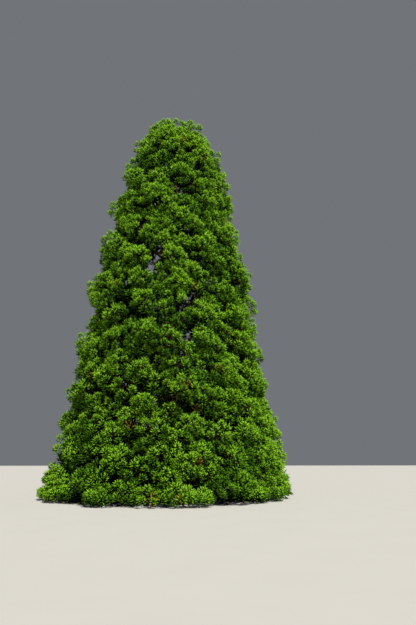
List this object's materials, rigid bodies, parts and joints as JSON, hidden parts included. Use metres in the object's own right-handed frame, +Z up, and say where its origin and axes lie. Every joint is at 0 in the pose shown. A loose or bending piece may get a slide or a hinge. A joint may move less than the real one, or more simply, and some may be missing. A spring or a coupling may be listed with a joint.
{
  "type": "giant sequoia tree",
  "caption": "Broad giant sequoia: a tapering trunk with staggered boughs that carry a dense cone of needle foliage down to the ground, blunt at the top.",
  "frame": {"origin": "middle of the flat cut under the trunk, at ground level", "axes": "+Z up along the trunk; -Y towards the viewer of the picture, +X to the viewer's right"},
  "size_m": [11.41, 11.3818, 20.6637],
  "materials": {
    "trunk_bark": "thick fibrous furrowed red-brown bark",
    "bough_bark": "rough brown bark",
    "foliage_lower": "matte awl-shaped needles, yellow-green at the tips",
    "foliage_middle": "matte awl-shaped needles, mid green",
    "foliage_upper": "matte awl-shaped needles, mid to deep green"
  },
  "bodies": {
    "root": {"trunk": "trunk_bark", "bough_tier_1_1": "bough_bark", "bough_tier_1_2": "bough_bark", "bough_tier_1_3": "bough_bark", "bough_tier_1_4": "bough_bark", "bough_tier_1_5": "bough_bark", "bough_tier_1_6": "bough_bark", "bough_tier_1_7": "bough_bark", "bough_tier_2_1": "bough_bark", "bough_tier_2_2": "bough_bark", "bough_tier_2_3": "bough_bark", "bough_tier_2_4": "bough_bark", "bough_tier_2_5": "bough_bark", "bough_tier_2_6": "bough_bark", "bough_tier_3_1": "bough_bark", "bough_tier_3_2": "bough_bark", "bough_tier_3_3": "bough_bark", "bough_tier_3_4": "bough_bark", "bough_tier_3_5": "bough_bark", "bough_tier_3_6": "bough_bark", "bough_tier_4_1": "bough_bark", "bough_tier_4_2": "bough_bark", "bough_tier_4_3": "bough_bark", "bough_tier_4_4": "bough_bark", "bough_tier_4_5": "bough_bark", "bough_tier_5_1": "bough_bark", "bough_tier_5_2": "bough_bark", "bough_tier_5_3": "bough_bark", "bough_tier_5_4": "bough_bark", "foliage_tier_1_1": "foliage_lower", "foliage_tier_1_2": "foliage_lower", "foliage_tier_1_3": "foliage_lower", "foliage_tier_1_4": "foliage_lower", "foliage_tier_1_5": "foliage_lower", "foliage_tier_1_6": "foliage_lower", "foliage_tier_1_7": "foliage_lower", "foliage_tier_2_1": "foliage_lower", "foliage_tier_2_2": "foliage_lower", "foliage_tier_2_3": "foliage_lower", "foliage_tier_2_4": "foliage_lower", "foliage_tier_2_5": "foliage_lower", "foliage_tier_2_6": "foliage_lower", "foliage_tier_3_1": "foliage_middle", "foliage_tier_3_2": "foliage_middle", "foliage_tier_3_3": "foliage_middle", "foliage_tier_3_4": "foliage_middle", "foliage_tier_3_5": "foliage_middle", "foliage_tier_3_6": "foliage_middle", "foliage_tier_4_1": "foliage_middle", "foliage_tier_4_2": "foliage_middle", "foliage_tier_4_3": "foliage_middle", "foliage_tier_4_4": "foliage_middle", "foliage_tier_4_5": "foliage_middle", "foliage_tier_5_1": "foliage_upper", "foliage_tier_5_2": "foliage_upper", "foliage_tier_5_3": "foliage_upper", "foliage_tier_5_4": "foliage_upper", "foliage_leader": "foliage_upper"}
  },
  "joints": []
}
